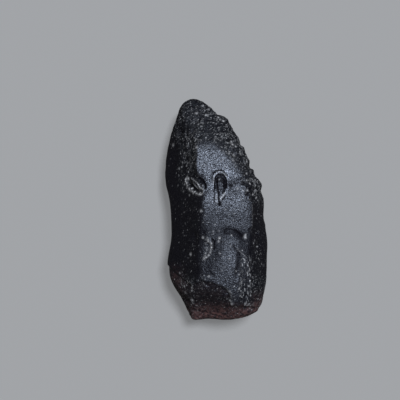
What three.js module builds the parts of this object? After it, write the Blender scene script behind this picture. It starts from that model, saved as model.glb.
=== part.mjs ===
// A tektite: one splash-form lump of black natural glass, longer than it is wide, with a blunt tip, a
// broken end, a broad smooth front face between two falling flanks, and etched grooves, folds and chips.
// Units are millimetres. The stone lies on its back: +Z is up out of the front face, +Y runs along it to
// the tip, and the origin is under the middle of its box, on the surface that it rests on.
import * as THREE from "three";
import { mergeVertices } from "three/addons/utils/BufferGeometryUtils.js";

// ---- Driving dimensions -------------------------------------------------------------------------------
const LENGTH = 70; // tip to broken end
const TIP_REACH = 35; // where the tip's cap would end, if no facet cut into it
const END_REACH = 35.4; // the same for the broken end
const AXIS_HEIGHT = 12; // height of the stone's own axis over the lowest point of its uncut back
const REST_CUT = 0.6; // depth worn off the back, which leaves the small flat that it rests on

// The hull at stations along the stone, as if its two ends were cut off square: the left and right edges
// in X, and the front and back in Z.
const STATIONS = [
  { y: 35, left: -15.2, right: 1.2, front: 20.2, back: 6.6 },
  { y: 31.5, left: -15.3, right: 3.1, front: 21.2, back: 5.6 },
  { y: 27, left: -15.8, right: 7.1, front: 21.8, back: 4.4 },
  { y: 22, left: -16.4, right: 9.3, front: 22.7, back: 3.0 },
  { y: 14, left: -16.6, right: 11.5, front: 23.8, back: 1.2 },
  { y: 9, left: -16.3, right: 14.0, front: 24.3, back: 0.5 },
  { y: 3, left: -14.6, right: 15.6, front: 24.4, back: 0.1 },
  { y: -3.5, left: -14.1, right: 15.7, front: 24.1, back: 0 },
  { y: -10, left: -14.1, right: 16.4, front: 24.0, back: 0.2 },
  { y: -16, left: -14.9, right: 16.4, front: 24.1, back: 0.8 },
  { y: -22.5, left: -14.4, right: 16.4, front: 23.9, back: 1.8 },
  { y: -27, left: -12.8, right: 15.8, front: 23.3, back: 2.8 },
  { y: -31, left: -11.9, right: 15.2, front: 22.3, back: 4.0 },
  { y: -35, left: -13.8, right: 11.0, front: 20.2, back: 5.4 },
];
const TIP_SQUARENESS = 2.5; // power of the cap at the tip: 2 is an ellipsoid's, and more is blunter
const END_SQUARENESS = 6; // power of the cap at the broken end
const FRONT_SQUARENESS = 3.4; // power of the cross-section's front half
const BACK_SQUARENESS = 2.3; // the same for its back half

// Broad facets that the hull is cut back to: a point on each, and the way that it faces.
const FACETS = {
  leftFlank: { at: [-10.4, 3, 17.6], faces: [-0.74, 0.02, 0.67] },
  frontFace: { at: [3, 5, 24.2], faces: [0.05, 0.06, 1] },
  rightFlank: { at: [13.8, -8, 18.3], faces: [0.87, 0, 0.5] },
  tipSlope: { at: [-4, 27, 19.2], faces: [-0.08, 0.48, 0.87] },
  chippedEdge: { at: [7.6, 21, 17.8], faces: [0.72, 0.42, 0.55] },
  endScar: { at: [-3.5, -30.6, 19.1], faces: [-0.16, -0.66, 0.73] },
  lowerLeft: { at: [-11.9, -26, 14], faces: [-0.84, -0.44, 0.31] },
  backLeft: { at: [-9.8, 0, 3.0], faces: [-0.62, 0, -0.78] },
  backRight: { at: [10.8, -5, 2.5], faces: [0.64, 0, -0.77] },
  backTip: { at: [-5, 27, 4.8], faces: [0, 0.38, -0.92] },
  backEnd: { at: [1, -29, 3.6], faces: [0.1, -0.6, -0.8] },
};
const FACET_SHARPNESS = 34; // power that blends the facets: more makes crisper ridges between them

// Swellings, and hollows where the rise is negative, of the whole form.
const SWELLINGS = {
  frontDip: { at: [4.6, -4.2, 24], radius: 3.6, rise: -0.6 },
  lobeTop: { at: [3.2, -11.5, 24], radius: 4.4, rise: 0.6 },
  lobeFoot: { at: [2.2, -18.5, 24], radius: 5, rise: 0.5 },
  besideLobe: { at: [9.8, -12, 23], radius: 3.4, rise: -0.5 },
  besideAlmond: { at: [-11.5, 9, 17.5], radius: 5, rise: -0.35 },
  flankHollow: { at: [-11.5, -7, 17], radius: 6, rise: -0.5 },
  flankSwelling: { at: [-12.5, -17, 16], radius: 5, rise: 0.4 },
  rightHollow: { at: [15.4, -1.5, 15], radius: 4.5, rise: -0.5 },
  rightSwelling: { at: [15.6, -11, 15], radius: 4, rise: 0.35 },
  tipHollow: { at: [-7, 26.6, 19], radius: 3.2, rise: -0.4 },
  tipEdge: { at: [3.6, 28.4, 14], radius: 2.6, rise: 0.45 },
  thumbprint: { at: [8, 13, 4], radius: 6, rise: -1 },
  backHollow: { at: [-9, -17, 5], radius: 5, rise: -0.9 },
  backSwelling: { at: [9, -21, 4.5], radius: 6, rise: 0.5 },
  backTipHollow: { at: [-8, 21, 4.5], radius: 5, rise: -0.8 },
  backRidge: { at: [-11, 3, 4.5], radius: 4, rise: 0.5 },
  endHollow: { at: [3, -34, 9], radius: 5, rise: -0.5 },
};

// Marks etched into the glass. A path is a list of [x, y] points, and runs over the front or the back; a
// lip stands up on each side of a groove.
const FRONT = 1;
const BACK = -1;
const HAIRPIN = {
  side: FRONT,
  path: [[1.1, 1.5], [0.7, 4.6], [0.4, 7.3], [0.1, 9.3], [0.4, 10.6], [1.4, 11.1], [2.5, 10.6], [3.2, 9.2],
    [3.1, 7.3], [2.4, 5.5], [1.5, 3.9]],
  halfWidth: 0.48,
  depth: 0.75,
  lip: 0.22,
};
const CRESCENT = {
  side: FRONT,
  path: [[-1.9, -8.4], [-1.0, -9.7], [-0.75, -11.2], [-1.0, -12.8], [-1.7, -14.2], [-2.9, -15.6]],
  halfWidth: 0.5,
  depth: 0.6,
  lip: 0.2,
};
const FOLD = {
  side: FRONT,
  path: [[2.7, -7.0], [4.2, -6.4], [5.7, -6.8], [6.9, -7.5], [7.7, -8.7], [8.0, -10.0]],
  halfWidth: 1.05,
  depth: 0.6,
  lip: 0,
};
const SEAM = {
  side: FRONT,
  path: [[6.1, -11.4], [6.7, -13.1], [7.3, -14.4], [7.2, -16.2], [7.0, -18.4], [6.5, -20.6]],
  halfWidth: 0.6,
  depth: 0.3,
  lip: 0.1,
};
const ALMOND = {
  middle: [-6.9, 7.6],
  halfLength: 3.9,
  halfWidth: 1.6,
  turn: -48, // degrees
  grooveWidth: 0.5,
  depth: 0.65,
};
const BACK_FURROW = {
  side: BACK,
  path: [[-12.5, -8], [-9.5, -10.5], [-7.4, -14], [-3.6, -16.6], [0.4, -21], [4.6, -22.6], [7.4, -26.5]],
  halfWidth: 0.8,
  depth: 0.6,
  lip: 0.15,
};
const BACK_CURL = {
  side: BACK,
  path: [[12.6, 4.4], [9.8, 7.2], [6.2, 8.6], [5, 12], [6.8, 14.6], [9.4, 14]],
  halfWidth: 0.75,
  depth: 0.55,
  lip: 0.15,
};

// Scallops chipped out of the glass: [x, y, radius, depth], with x and y seen from the front. The first is
// the one broad scar that the stone's end broke off along.
const END_SCAR = [-3.5, -30.2, 8.2, 1.1];
const CHIPS = [
  // down the right edge from the tip
  [-2.7, 32.4, 0.9, 0.3], [0.3, 30.3, 1.3, 0.5], [2.5, 28.6, 1.3, 0.4], [4.2, 27.2, 1.2, 0.4],
  [4.7, 24.3, 1.1, 0.35], [6.3, 23.8, 1.3, 0.35], [5.4, 21.1, 1.2, 0.45], [7.8, 20.1, 1.1, 0.45],
  [4.1, 17.9, 0.8, 0.3], [7.8, 17.7, 1.1, 0.4], [5.7, 16.8, 1, 0.3], [9.4, 16.6, 1.2, 0.35],
  [10.7, 13.6, 1.3, 0.5], [9.8, 11.6, 0.8, 0.3], [12, 11.1, 1, 0.35], [14.6, 6.3, 1, 0.35],
  [14.9, 4, 0.9, 0.3], [15.2, 0.2, 1.2, 0.35],
  // the rough patch where the front face meets the right flank
  [9.5, 9, 1.2, 0.4], [11.1, 8.1, 1.1, 0.4], [13, 8.4, 1.1, 0.35], [10.1, 6.2, 1, 0.35],
  [12, 5.9, 1.2, 0.4], [13.6, 6.2, 0.9, 0.3], [10, 4.3, 0.9, 0.3], [12.7, 3.6, 1.1, 0.4], [14.3, 2, 1, 0.3],
  // round the broken end and down the flanks
  [-8.9, -23, 1.2, 0.4], [-10.5, -24.5, 1.1, 0.35], [-7.8, -25, 0.9, 0.3], [-7.6, -29.4, 1, 0.35],
  [5.2, -30.4, 1, 0.4], [9.6, -30.6, 1.1, 0.35], [13.3, -7.4, 0.9, 0.5], [13, -11.6, 0.8, 0.3],
  [-7.9, -14.1, 0.7, 0.35], [9.2, -8.8, 0.8, 0.35],
];

// Small round pits strewn over all but the smooth front face and the flat.
const PITS = { count: 60, seed: 20, smallest: 0.9, largest: 2.1, depthShare: 0.32 };
const SMOOTH_FACING = 0.87; // the front face is where the hull's normal rises more steeply than this
const CLEAR_OF_FLAT = 1.8; // height below which no pit is put

// ---- The hull ------------------------------------------------------------------------------------------
// A smooth curve through one column of the stations.
function along(y, column) {
  const last = STATIONS.length - 1;
  let i = 0;
  while (i < last - 1 && y < STATIONS[i + 1].y) i++;
  const [a, b] = [STATIONS[i], STATIONS[i + 1]];
  const before = STATIONS[Math.max(i - 1, 0)];
  const after = STATIONS[Math.min(i + 2, last)];
  const t = THREE.MathUtils.clamp((y - a.y) / (b.y - a.y), 0, 1);
  const slopeA = ((b[column] - before[column]) / (b.y - before.y)) * (b.y - a.y);
  const slopeB = ((after[column] - a[column]) / (after.y - a.y)) * (b.y - a.y);
  const rise = b[column] - a[column];
  return (
    a[column] +
    slopeA * t +
    (3 * rise - 2 * slopeA - slopeB) * t * t +
    (slopeA + slopeB - 2 * rise) * t * t * t
  );
}

const CENTRE = new THREE.Vector3(0, 0, AXIS_HEIGHT);
const facets = Object.values(FACETS).map(({ at, faces }) => {
  const normal = new THREE.Vector3(...faces).normalize();
  const distance = normal.dot(new THREE.Vector3(...at).sub(CENTRE));
  return { normal, distance };
});

// How far out a point is: under 1 inside the hull, 1 on it and over 1 outside.
function reach(x, y, z) {
  const left = along(y, "left");
  const right = along(y, "right");
  const rise = z - AXIS_HEIGHT;
  const [power, limit] = rise > 0
    ? [FRONT_SQUARENESS, along(y, "front") - AXIS_HEIGHT]
    : [BACK_SQUARENESS, AXIS_HEIGHT - along(y, "back")];
  const across = Math.abs(x - (left + right) / 2) / ((right - left) / 2);
  const section = across ** power + (Math.abs(rise) / limit) ** power;
  const [squareness, end] = y > 0 ? [TIP_SQUARENESS, y / TIP_REACH] : [END_SQUARENESS, -y / END_REACH];
  const capped = section ** (squareness / power) + end ** squareness;
  let sum = capped ** (FACET_SHARPNESS / squareness);
  for (const { normal, distance } of facets) {
    const out = (normal.x * x + normal.y * y + normal.z * rise) / distance;
    if (out > 0) sum += out ** FACET_SHARPNESS;
  }
  return sum ** (1 / FACET_SHARPNESS);
}

// The way that the hull faces at a point on it.
const PROBE = 0.05;
function facing(p) {
  return new THREE.Vector3(
    reach(p.x + PROBE, p.y, p.z) - reach(p.x - PROBE, p.y, p.z),
    reach(p.x, p.y + PROBE, p.z) - reach(p.x, p.y - PROBE, p.z),
    reach(p.x, p.y, p.z + PROBE) - reach(p.x, p.y, p.z - PROBE),
  ).normalize();
}

// Where a ray from inside the hull leaves it.
const HALVINGS = 22;
function exitPoint(from, direction) {
  let near = 0;
  let far = LENGTH;
  for (let i = 0; i < HALVINGS; i++) {
    const half = (near + far) / 2;
    const inside = reach(
      from.x + direction.x * half,
      from.y + direction.y * half,
      from.z + direction.z * half,
    ) < 1;
    if (inside) near = half;
    else far = half;
  }
  return from.clone().addScaledVector(direction, near);
}

// Moves a point onto the hull, along the line to it from a point on the stone's axis.
const ANCHOR_SHARE = 0.7; // how far out along the axis that line starts, as a share of the point's own y
function ontoHull(p) {
  const y = THREE.MathUtils.clamp(p.y, -END_REACH, TIP_REACH) * ANCHOR_SHARE;
  const anchor = new THREE.Vector3((along(y, "left") + along(y, "right")) / 2, y, AXIS_HEIGHT);
  return exitPoint(anchor, p.clone().sub(anchor).normalize());
}

// The point of the front that is seen at x and y.
const UP = new THREE.Vector3(0, 0, 1);
function frontAt(x, y) {
  return exitPoint(new THREE.Vector3(x, y, AXIS_HEIGHT), UP);
}

// ---- Relief: how far the surface stands proud of the hull ------------------------------------------------
// A mark gives its relief at a point. A fine mark also gives the edge length that it needs, and how far
// outside it a point is.
const EDGE_SHARE = 1.1; // how long edges are in a mark, as a share of its half width
const bump = (distance, width) => Math.exp(-((distance / width) ** 2));

function swelling({ at, radius, rise }) {
  const middle = new THREE.Vector3(...at);
  return { relief: (p) => rise * bump(p.distanceTo(middle), radius) };
}

const PATH_STEPS = 40;
function groove({ side, path, halfWidth, depth, lip }) {
  const curve = new THREE.CatmullRomCurve3(path.map(([x, y]) => new THREE.Vector3(x, y, 0)));
  const points = curve.getPoints(PATH_STEPS);
  const toPath = (p) => {
    if ((p.z - AXIS_HEIGHT) * side < 0) return Infinity;
    return Math.min(...points.map((q) => Math.hypot(p.x - q.x, p.y - q.y)));
  };
  return {
    relief: (p) => {
      const d = toPath(p);
      return lip * bump(d - 2 * halfWidth, halfWidth) - depth * bump(d, halfWidth);
    },
    edge: halfWidth * EDGE_SHARE,
    distance: (p) => toPath(p) - 2 * halfWidth,
  };
}

// A ring-shaped groove round a low island.
function ringGroove({ middle, halfLength, halfWidth, turn, grooveWidth, depth }) {
  const cos = Math.cos(THREE.MathUtils.degToRad(turn));
  const sin = Math.sin(THREE.MathUtils.degToRad(turn));
  const toRing = (p) => {
    if (p.z < AXIS_HEIGHT) return Infinity;
    const [dx, dy] = [p.x - middle[0], p.y - middle[1]];
    const u = (dx * cos + dy * sin) / halfLength;
    const v = (dy * cos - dx * sin) / halfWidth;
    return Math.abs(Math.hypot(u, v) - 1) * halfWidth;
  };
  return {
    relief: (p) => -depth * bump(toRing(p), grooveWidth),
    edge: grooveWidth * EDGE_SHARE,
    distance: (p) => toRing(p) - grooveWidth,
  };
}

function scallop(middle, radius, depth) {
  return {
    relief: (p) => -depth * Math.max(0, 1 - (p.distanceTo(middle) / radius) ** 2),
    edge: (radius * EDGE_SHARE) / 2,
    distance: (p) => p.distanceTo(middle) - radius,
  };
}

const BOX = new THREE.Vector3(32, LENGTH, 24); // about the stone's own box
function pits() {
  const { seededRandom, lerp } = THREE.MathUtils;
  seededRandom(PITS.seed);
  const found = [];
  while (found.length < PITS.count) {
    const inBox = new THREE.Vector3(seededRandom() - 0.5, seededRandom() - 0.5, seededRandom() - 0.5);
    const radius = lerp(PITS.smallest, PITS.largest, seededRandom() ** 2);
    const middle = ontoHull(inBox.multiply(BOX).add(CENTRE));
    if (middle.z < CLEAR_OF_FLAT || facing(middle).z > SMOOTH_FACING) continue;
    found.push(scallop(middle, radius, radius * PITS.depthShare));
  }
  return found;
}

const fineMarks = [
  groove(HAIRPIN),
  groove(CRESCENT),
  groove(FOLD),
  groove(SEAM),
  groove(BACK_FURROW),
  groove(BACK_CURL),
  ringGroove(ALMOND),
  ...CHIPS.map(([x, y, radius, depth]) => scallop(frontAt(x, y), radius, depth)),
  ...pits(),
];
const [scarX, scarY, scarRadius, scarDepth] = END_SCAR;
const broadMarks = [
  ...Object.values(SWELLINGS).map(swelling),
  scallop(frontAt(scarX, scarY), scarRadius, scarDepth),
];
const marks = [...fineMarks, ...broadMarks];

// ---- The mesh ------------------------------------------------------------------------------------------
// An icosphere stretched over the hull, whose edges are split wherever the surface has fine marks.
const SPHERE_DETAIL = 11; // gives 20 * (11 + 1) ** 2 = 2880 triangles before any is split
const EDGE = 2; // edge length on plain surface
const EDGE_GROWTH = 0.7; // how fast the edges lengthen away from a mark
const SPLIT_OVER = 1.65; // an edge is split when it is over this many times as long as it should be
const SPLITTINGS = 4;
const FITS = 6; // how often the mesh is fitted to the hull again after each splitting
const ROUNDS_PER_FIT = 5;
const KEPT_SHARE = 0.3; // how much of its last place a vertex keeps in each round

function targetEdge(p) {
  return fineMarks.reduce((least, { edge, distance }) => {
    if (least <= edge) return least;
    return Math.min(least, edge + EDGE_GROWTH * Math.max(0, distance(p)));
  }, EDGE);
}

// Cuts each triangle at the middles of those of its edges that are too long. It adds the new vertices to
// the points, and returns the new triangles.
function split(points, triangles) {
  const middles = new Map();
  const middleOf = (a, b) => {
    const key = `${Math.min(a, b)} ${Math.max(a, b)}`;
    if (!middles.has(key)) {
      const middle = points[a].clone().add(points[b]).divideScalar(2);
      const tooLong = points[a].distanceTo(points[b]) > SPLIT_OVER * targetEdge(middle);
      middles.set(key, tooLong ? points.push(ontoHull(middle)) - 1 : null);
    }
    return middles.get(key);
  };
  return triangles.flatMap(([a, b, c]) => {
    const [ab, bc, ca] = [middleOf(a, b), middleOf(b, c), middleOf(c, a)];
    const ring = [a, ab, b, bc, c, ca].filter((corner) => corner !== null);
    if (ring.length === 3) return [[a, b, c]];
    if (ring.length === 6) return [[a, ab, ca], [ab, b, bc], [ca, bc, c], [ab, bc, ca]];
    const first = ring.indexOf(ab ?? bc ?? ca);
    const fan = [...ring.slice(first), ...ring.slice(0, first)];
    return fan.slice(2).map((corner, i) => [fan[0], fan[i + 1], corner]);
  });
}

function neighboursOf(points, triangles) {
  const sets = points.map(() => new Set());
  for (const [a, b, c] of triangles) {
    sets[a].add(b).add(c);
    sets[b].add(c).add(a);
    sets[c].add(a).add(b);
  }
  return sets.map((set) => [...set]);
}

// Evens the mesh out, by moving each vertex towards its neighbours and back onto the hull.
function settle(points, triangles) {
  const neighbours = neighboursOf(points, triangles);
  for (let fit = 0; fit < FITS; fit++) {
    const pull = points.map((p) => 1 / targetEdge(p));
    for (let round = 0; round < ROUNDS_PER_FIT; round++) {
      const moved = points.map((p, i) => {
        const sum = new THREE.Vector3();
        let total = 0;
        for (const j of neighbours[i]) {
          sum.addScaledVector(points[j], pull[i] + pull[j]);
          total += pull[i] + pull[j];
        }
        return sum.divideScalar(total).lerp(p, KEPT_SHARE);
      });
      points.forEach((p, i) => p.copy(moved[i]));
    }
    points.forEach((p) => p.copy(ontoHull(p)));
  }
}

function sphereMesh() {
  const sphere = new THREE.IcosahedronGeometry(1, SPHERE_DETAIL);
  sphere.deleteAttribute("normal");
  sphere.deleteAttribute("uv");
  const merged = mergeVertices(sphere);
  const position = merged.getAttribute("position");
  const stretch = new THREE.Vector3(AXIS_HEIGHT, LENGTH / 2, AXIS_HEIGHT);
  const points = Array.from({ length: position.count }, (_, i) =>
    ontoHull(new THREE.Vector3().fromBufferAttribute(position, i).multiply(stretch).add(CENTRE)));
  const corners = [...merged.index.array];
  const triangles = Array.from({ length: corners.length / 3 }, (_, i) => corners.slice(3 * i, 3 * i + 3));
  return { points, triangles };
}

function stoneGeometry() {
  let { points, triangles } = sphereMesh();
  settle(points, triangles);
  for (let i = 0; i < SPLITTINGS; i++) {
    triangles = split(points, triangles);
    settle(points, triangles);
  }
  const surface = points.map((p) => {
    const proud = marks.reduce((sum, mark) => sum + mark.relief(p), 0);
    const moved = facing(p).multiplyScalar(proud).add(p);
    return moved.setZ(Math.max(moved.z, REST_CUT));
  });
  const geometry = new THREE.BufferGeometry().setFromPoints(surface);
  geometry.setIndex(triangles.flat());
  geometry.computeBoundingBox();
  const { min, max } = geometry.boundingBox;
  geometry.translate(-(min.x + max.x) / 2, -(min.y + max.y) / 2, -min.z);
  geometry.computeVertexNormals();
  return geometry;
}

// ---- The object ----------------------------------------------------------------------------------------
const glass = new THREE.MeshStandardMaterial({ color: 0x101013, roughness: 0.45, metalness: 0 });
const stone = new THREE.Mesh(stoneGeometry(), glass);
stone.name = "tektite";

const tektite = new THREE.Group();
tektite.add(stone);
export default tektite;
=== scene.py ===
"""A tektite, one lump of black natural glass, lying on its back and seen from straight above.

The scene is in metres, and the shaping below works in millimetres. A place on the front face is given as
[x, y] in the camera's frame, which is 400 by 400 units with y down, and lands on the stone along the
camera's line of sight.
"""

import math

import bmesh
import bpy
import numpy as np
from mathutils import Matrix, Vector, noise
from mathutils.bvhtree import BVHTree
from mathutils.kdtree import KDTree


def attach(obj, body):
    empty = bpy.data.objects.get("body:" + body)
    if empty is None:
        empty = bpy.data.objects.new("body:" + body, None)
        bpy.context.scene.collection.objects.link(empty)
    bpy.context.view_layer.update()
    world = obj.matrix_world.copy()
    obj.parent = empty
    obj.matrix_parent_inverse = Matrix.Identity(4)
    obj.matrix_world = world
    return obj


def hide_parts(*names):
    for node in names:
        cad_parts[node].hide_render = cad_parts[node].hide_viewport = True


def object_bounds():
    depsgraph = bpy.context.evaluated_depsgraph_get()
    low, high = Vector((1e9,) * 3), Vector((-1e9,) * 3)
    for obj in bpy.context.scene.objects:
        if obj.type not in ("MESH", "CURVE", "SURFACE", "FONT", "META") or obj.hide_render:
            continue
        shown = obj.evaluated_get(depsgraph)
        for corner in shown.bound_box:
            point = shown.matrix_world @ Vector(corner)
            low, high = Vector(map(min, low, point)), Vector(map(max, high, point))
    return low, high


MM = 0.001

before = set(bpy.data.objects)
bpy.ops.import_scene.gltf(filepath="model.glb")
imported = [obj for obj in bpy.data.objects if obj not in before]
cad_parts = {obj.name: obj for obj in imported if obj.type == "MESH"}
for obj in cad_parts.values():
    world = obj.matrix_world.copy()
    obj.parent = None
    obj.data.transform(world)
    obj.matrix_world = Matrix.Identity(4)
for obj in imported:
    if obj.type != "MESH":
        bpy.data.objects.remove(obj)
cad_box = [list(corner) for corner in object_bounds()]

# ---- The camera -----------------------------------------------------------------------------------------
FRAME = 400  # the frame's width in its own units
UNIT = 0.31674  # millimetres that one unit spans at the height of the stone's outline
OUTLINE_HEIGHT = 11.5  # millimetres from the floor to the stone's outline
CAMERA_HEIGHT = 312.0  # and to the camera
MIDDLE = (-16, 9.5)  # the frame's middle from the stone's origin, in units to the right and up
CAMERA_AT = np.array([MIDDLE[0] * UNIT, MIDDLE[1] * UNIT, CAMERA_HEIGHT])
SENSOR = 36.0

camera = bpy.data.objects.new("camera", bpy.data.cameras.new("camera"))
camera.location = Vector(CAMERA_AT) * MM
camera.data.sensor_width = SENSOR
camera.data.lens = SENSOR * (CAMERA_AT[2] - OUTLINE_HEIGHT) / (FRAME * UNIT)
camera.data.clip_start = 0.01
camera.data.clip_end = 10
bpy.context.scene.collection.objects.link(camera)
bpy.context.scene.camera = camera


def in_frame(points):
    """Where points show in the camera's frame, in its units."""
    scale = (CAMERA_AT[2] - OUTLINE_HEIGHT) / (CAMERA_AT[2] - points[:, 2]) / UNIT
    x = FRAME / 2 + (points[:, 0] - CAMERA_AT[0]) * scale
    y = FRAME / 2 - (points[:, 1] - CAMERA_AT[1]) * scale
    return x, y


def line_of_sight(x, y):
    """The way that the camera looks through a place in its frame."""
    across = (x - FRAME / 2) * UNIT
    up = (FRAME / 2 - y) * UNIT
    return Vector((across, up, OUTLINE_HEIGHT - CAMERA_AT[2])).normalized()


# ---- The stone's mesh: an even skin over the CAD solid --------------------------------------------------
WELD_GAP = 0.001  # corners that are closer than this are one
ROUNDING_LEVELS = 2  # of subdivision
VOXEL = 0.305  # the size of the skin's quads
EVENING_ROUNDS = 6  # of smoothing, which take out the steps between the voxels
EASING_ROUNDS = 30  # of smoothing of how far the skin is eased back out


def welded(mesh):
    """A copy of a mesh whose faces share their corners."""
    shape = bmesh.new()
    shape.from_mesh(mesh)
    bmesh.ops.remove_doubles(shape, verts=shape.verts, dist=WELD_GAP * MM)
    copy = bpy.data.meshes.new("solid")
    shape.to_mesh(copy)
    shape.free()
    return copy


def even_skin(mesh):
    """The mesh rounded between its corners, as quads of one size."""
    thing = bpy.data.objects.new("skin", mesh)
    bpy.context.scene.collection.objects.link(thing)
    rounding = thing.modifiers.new("rounding", "SUBSURF")
    rounding.levels = ROUNDING_LEVELS
    evening = thing.modifiers.new("evening", "REMESH")
    evening.mode = "VOXEL"
    evening.voxel_size = VOXEL * MM
    graph = bpy.context.evaluated_depsgraph_get()
    skin = bpy.data.meshes.new_from_object(thing.evaluated_get(graph))
    bpy.data.objects.remove(thing)
    return skin


def arrays_of(mesh):
    """A mesh's points in millimetres, its triangles, its edges and how many edges meet at each point."""
    points = np.empty(3 * len(mesh.vertices))
    mesh.vertices.foreach_get("co", points)
    mesh.calc_loop_triangles()
    corners = np.empty(3 * len(mesh.loop_triangles), int)
    mesh.loop_triangles.foreach_get("vertices", corners)
    ends = np.empty(2 * len(mesh.edges), int)
    mesh.edges.foreach_get("vertices", ends)
    return points.reshape(-1, 3) / MM, corners.reshape(-1, 3), ends.reshape(-1, 2), np.bincount(ends)


def place_points(mesh, points):
    """Moves a mesh's vertices to points given in millimetres."""
    mesh.vertices.foreach_set("co", (points * MM).ravel())
    mesh.update()


solid = welded(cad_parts["tektite"].data)
mesh = even_skin(solid)
mesh.name = "stone"
co, triangles, edges, valence = arrays_of(mesh)


def gathered(corners, values):
    """The sum at each vertex of the values given for the corners that lie on it."""
    return np.bincount(corners, weights=values, minlength=len(valence))


def neighbour_mean(values):
    """Each vertex's mean over its neighbours, of one value or of the columns of several."""
    if values.ndim == 2:
        return np.stack([neighbour_mean(column) for column in values.T], axis=1)
    a, b = edges.T
    return (gathered(a, values[b]) + gathered(b, values[a])) / valence


def smoothed(values, rounds, share=0.5):
    """The values evened out over the mesh. The share may differ from vertex to vertex."""
    if values.ndim == 2 and np.ndim(share) == 1:
        share = share[:, None]
    for _ in range(rounds):
        values = values + share * (neighbour_mean(values) - values)
    return values


def normals_of(points):
    """The way that the surface faces at each vertex, when its vertices are at the points."""
    a, b, c = (points[triangles[:, i]] for i in range(3))
    face = np.cross(b - a, c - a)
    total = np.stack(
        [sum(gathered(triangles[:, i], face[:, k]) for i in range(3)) for k in range(3)],
        axis=1,
    )
    return total / np.linalg.norm(total, axis=1, keepdims=True)


def smoothstep(low, high, values):
    """0 where the values are under low, 1 where they are over high, and smooth between."""
    t = np.clip((values - low) / (high - low), 0, 1)
    return t * t * (3 - 2 * t)


def between(values, low, high, soft):
    """1 where the values are between low and high and 0 elsewhere, with soft edges."""
    return smoothstep(low - soft, low + soft, values) * (
        1 - smoothstep(high - soft, high + soft, values)
    )


# Rounding and smoothing draw the skin in a little, so it is eased back out to the solid.
co = smoothed(co, EVENING_ROUNDS)
solid_tree = BVHTree.FromPolygons(
    [tuple(v.co / MM) for v in solid.vertices],
    [tuple(p.vertices) for p in solid.polygons],
)
nearest = np.array([solid_tree.find_nearest(p)[0] for p in co.tolist()])
skin_normals = normals_of(co)
drawn_in = np.einsum("ij,ij->i", nearest - co, skin_normals)
co = co + skin_normals * smoothed(drawn_in, EASING_ROUNDS)[:, None]

# ---- Where things are on the stone ----------------------------------------------------------------------
base = co.copy()
base_tree = BVHTree.FromPolygons(base.tolist(), triangles.tolist())


def seen(x, y):
    """The point of the stone that shows at a place in the frame."""
    hit = base_tree.ray_cast(Vector(CAMERA_AT), line_of_sight(x, y))[0]
    if hit is None:
        raise ValueError(f"nothing of the stone shows at {x}, {y}")
    return np.array(hit)


CURVE_STEP = 0.12


def curve(places):
    """Points a step apart on a smooth curve through places in the frame."""
    points = np.array([seen(x, y) for x, y in places])
    padded = np.vstack([2 * points[0] - points[1], points, 2 * points[-1] - points[-2]])
    out = []
    for i in range(len(points) - 1):
        p0, p1, p2, p3 = padded[i : i + 4]
        steps = max(2, math.ceil(np.linalg.norm(p2 - p1) / CURVE_STEP))
        t = np.linspace(0, 1, steps, endpoint=False)[:, None]
        out.append(
            0.5
            * (
                2 * p1
                + (p2 - p0) * t
                + (2 * p0 - 5 * p1 + 4 * p2 - p3) * t**2
                + (3 * p1 - p0 - 3 * p2 + p3) * t**3
            )
        )
    out.append(points[-1:])
    return np.vstack(out)


FAR = 99.0  # stands for any distance that is out of reach


def distance_to(path, reach):
    """Each vertex's distance to a path, for those within reach of it, and how far along it that is."""
    middle = path.mean(axis=0)
    radius = np.linalg.norm(path - middle, axis=1).max() + reach
    near = np.flatnonzero(np.linalg.norm(base - middle, axis=1) < radius)
    gaps = np.linalg.norm(base[near][:, None] - path[None], axis=2)
    distance = np.full(len(base), FAR)
    along = np.zeros(len(base))
    distance[near] = gaps.min(axis=1)
    along[near] = gaps.argmin(axis=1) / (len(path) - 1)
    return distance, along


NOISE_SHIFT = (17.3, 5.9, 11.1)  # how far the noise moves from one seed to the next


def noise_at(scale, seed=0.0, octaves=1, stretch=(1, 1, 1)):
    """Smooth noise of about -1 to 1 at each vertex, with bumps about scale across."""
    shift = Vector([seed * step for step in NOISE_SHIFT])
    points = [Vector(p) + shift for p in (base / (scale * np.array(stretch))).tolist()]
    if octaves == 1:
        return np.array([noise.noise(p) for p in points])
    return np.array([noise.fractal(p, 1.0, 2.0, octaves) for p in points])


# ---- The marks on the front face --------------------------------------------------------------------
# The hairpin is a groove that turns back on itself round an island, with a thin lip and a hairline
# outside it.
HAIRPIN = [
    [219.6, 204.3], [218.9, 201], [218.5, 197.3], [218.4, 193.2], [217.9, 189], [217.4, 184.5],
    [216.9, 181],
]
HAIRPIN_BOWL = [
    [216.0, 191.2], [216.0, 184], [216.2, 180.5], [216.9, 177.9], [218.8, 175.9], [221.0, 175.9],
    [223.2, 177.2], [224.9, 179.8], [225.2, 183], [224.9, 186.5], [224.4, 189.4],
]
HAIRPIN_BOWL_TOP = [[217.8, 179.8], [219.8, 179.4], [221.8, 180.0], [223.6, 181.4]]
HAIRPIN_BOWL_TAIL = [[225.0, 184], [224.8, 187], [224.2, 189.8], [223.3, 192.8], [222.8, 194.2]]
HAIRPIN_ISLAND = [[221.2, 181.5], [220.9, 185], [220.7, 189], [220.5, 193]]
HAIRPIN_LIP = [
    [213.2, 186], [213.2, 183], [213.4, 180.4], [213.8, 177.3], [215.4, 174.6], [217.2, 172.6],
    [219.6, 171.8], [222.3, 172.5], [224.4, 173.8], [226, 175.9], [226.9, 178.5],
]
HAIRPIN_OUTER = [
    [212.9, 173.3], [214.9, 171.5], [216.6, 170.5], [218.8, 170], [221.6, 170.3], [223.2, 171.4],
    [225.4, 173.4], [226.8, 175.2], [227.8, 177.2],
]
HAIRPIN_OUTER_LEFT = [[210.6, 180.6], [211, 178], [211.8, 175.4], [212.9, 173.3], [214.9, 171.5]]
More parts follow.
